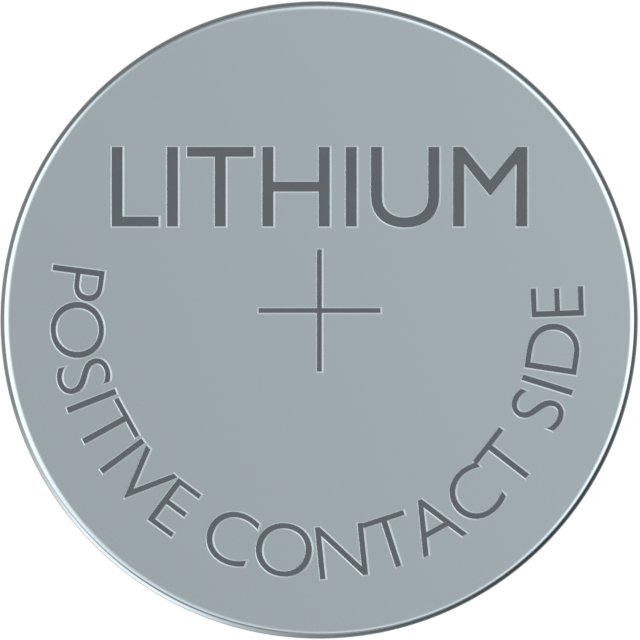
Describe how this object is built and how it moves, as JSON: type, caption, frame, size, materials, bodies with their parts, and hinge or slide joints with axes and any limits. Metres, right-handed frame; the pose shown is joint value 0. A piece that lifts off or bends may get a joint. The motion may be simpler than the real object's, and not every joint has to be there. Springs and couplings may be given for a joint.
{
  "type": "one-third n-size battery",
  "caption": "Short cylindrical lithium cell: a crimped steel can closed by a stepped cap in a plastic gasket, with a wound electrode roll and its leads inside.",
  "frame": {"origin": "centre of the negative contact face, on the cell's axis", "axes": "+Z along the cell's axis to the positive end face, +Y up as the face's marks are read"},
  "size_m": [0.0116, 0.0116, 0.0108],
  "materials": {
    "can_steel": "satin, faintly matt, drawn",
    "cap_steel": "satin nickel plate",
    "gasket_plastic": "moulded, waxy, translucent white",
    "cathode_mix": "pressed black powder",
    "lithium_foil": "soft rolled foil",
    "separator_film": "microporous white film",
    "lead_steel": "rolled strip",
    "lead_nickel": "rolled strip",
    "insulator_plastic": "punched sheet"
  },
  "bodies": {
    "root": {"positive_can": "can_steel", "negative_cap": "cap_steel", "sealing_gasket": "gasket_plastic", "cathode_sheet": "cathode_mix", "anode_foil": "lithium_foil", "inner_separator": "separator_film", "outer_separator": "separator_film", "cathode_tab": "lead_steel", "anode_tab": "lead_nickel", "upper_insulator": "insulator_plastic", "lower_insulator": "insulator_plastic"}
  },
  "joints": []
}
